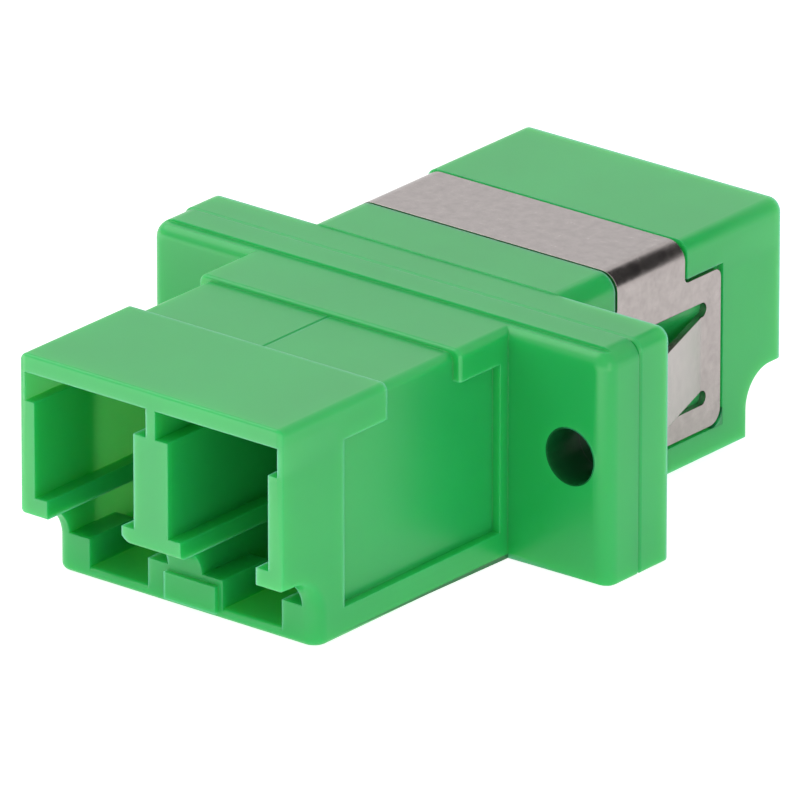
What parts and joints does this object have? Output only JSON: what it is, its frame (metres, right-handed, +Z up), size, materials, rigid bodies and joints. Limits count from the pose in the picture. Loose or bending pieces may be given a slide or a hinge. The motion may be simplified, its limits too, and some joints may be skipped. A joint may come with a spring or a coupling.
{
  "type": "flanged fibre optic adapter",
  "caption": "Green flanged coupler that lines up small latched fibre plugs face to face, with keyed ports at both ends, screw ears and a folded steel panel clip.",
  "frame": {"origin": "on the underside, midway between the two port faces and midway across the flange", "axes": "+Y along the ferrules from the front housing to the rear housing, +X across the ports, +Z up, away from the plug latches"},
  "size_m": [0.0212, 0.029, 0.009],
  "materials": {
    "housing": "moulded satin green, slightly translucent",
    "sleeve": "ground white zirconia",
    "clip": "rolled stainless sheet"
  },
  "bodies": {
    "root": {"front_housing": "housing", "rear_housing": "housing", "alignment_sleeve_left": "sleeve", "alignment_sleeve_right": "sleeve", "retention_clip": "clip"}
  },
  "joints": []
}
